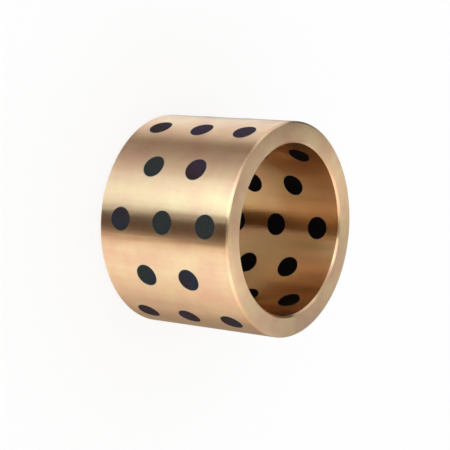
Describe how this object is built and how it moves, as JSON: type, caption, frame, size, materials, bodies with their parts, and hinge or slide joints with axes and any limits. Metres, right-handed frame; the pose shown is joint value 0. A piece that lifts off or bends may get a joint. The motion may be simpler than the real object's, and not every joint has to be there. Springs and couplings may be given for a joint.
{
  "type": "graphite plugged bushing",
  "caption": "Straight cylindrical plain-bearing bush with staggered rows of solid graphite plugs set flush through its wall, for a shaft that turns or slides without oil.",
  "frame": {"origin": "centre of the lower end face, on the bush's axis", "axes": "+Z along the bush's axis, from the lower end face to the upper one; +X through the middle of a row of three plugs"},
  "size_m": [0.1, 0.1, 0.0735],
  "materials": {
    "bush_metal": "fine turned",
    "graphite": "matt, cut flush"
  },
  "bodies": {
    "root": {"bush_body": "bush_metal", "graphite_plug_01_1": "graphite", "graphite_plug_01_2": "graphite", "graphite_plug_01_3": "graphite", "graphite_plug_02_1": "graphite", "graphite_plug_02_2": "graphite", "graphite_plug_03_1": "graphite", "graphite_plug_03_2": "graphite", "graphite_plug_03_3": "graphite", "graphite_plug_04_1": "graphite", "graphite_plug_04_2": "graphite", "graphite_plug_05_1": "graphite", "graphite_plug_05_2": "graphite", "graphite_plug_05_3": "graphite", "graphite_plug_06_1": "graphite", "graphite_plug_06_2": "graphite", "graphite_plug_07_1": "graphite", "graphite_plug_07_2": "graphite", "graphite_plug_07_3": "graphite", "graphite_plug_08_1": "graphite", "graphite_plug_08_2": "graphite", "graphite_plug_09_1": "graphite", "graphite_plug_09_2": "graphite", "graphite_plug_09_3": "graphite", "graphite_plug_10_1": "graphite", "graphite_plug_10_2": "graphite", "graphite_plug_11_1": "graphite", "graphite_plug_11_2": "graphite", "graphite_plug_11_3": "graphite", "graphite_plug_12_1": "graphite", "graphite_plug_12_2": "graphite"}
  },
  "joints": []
}
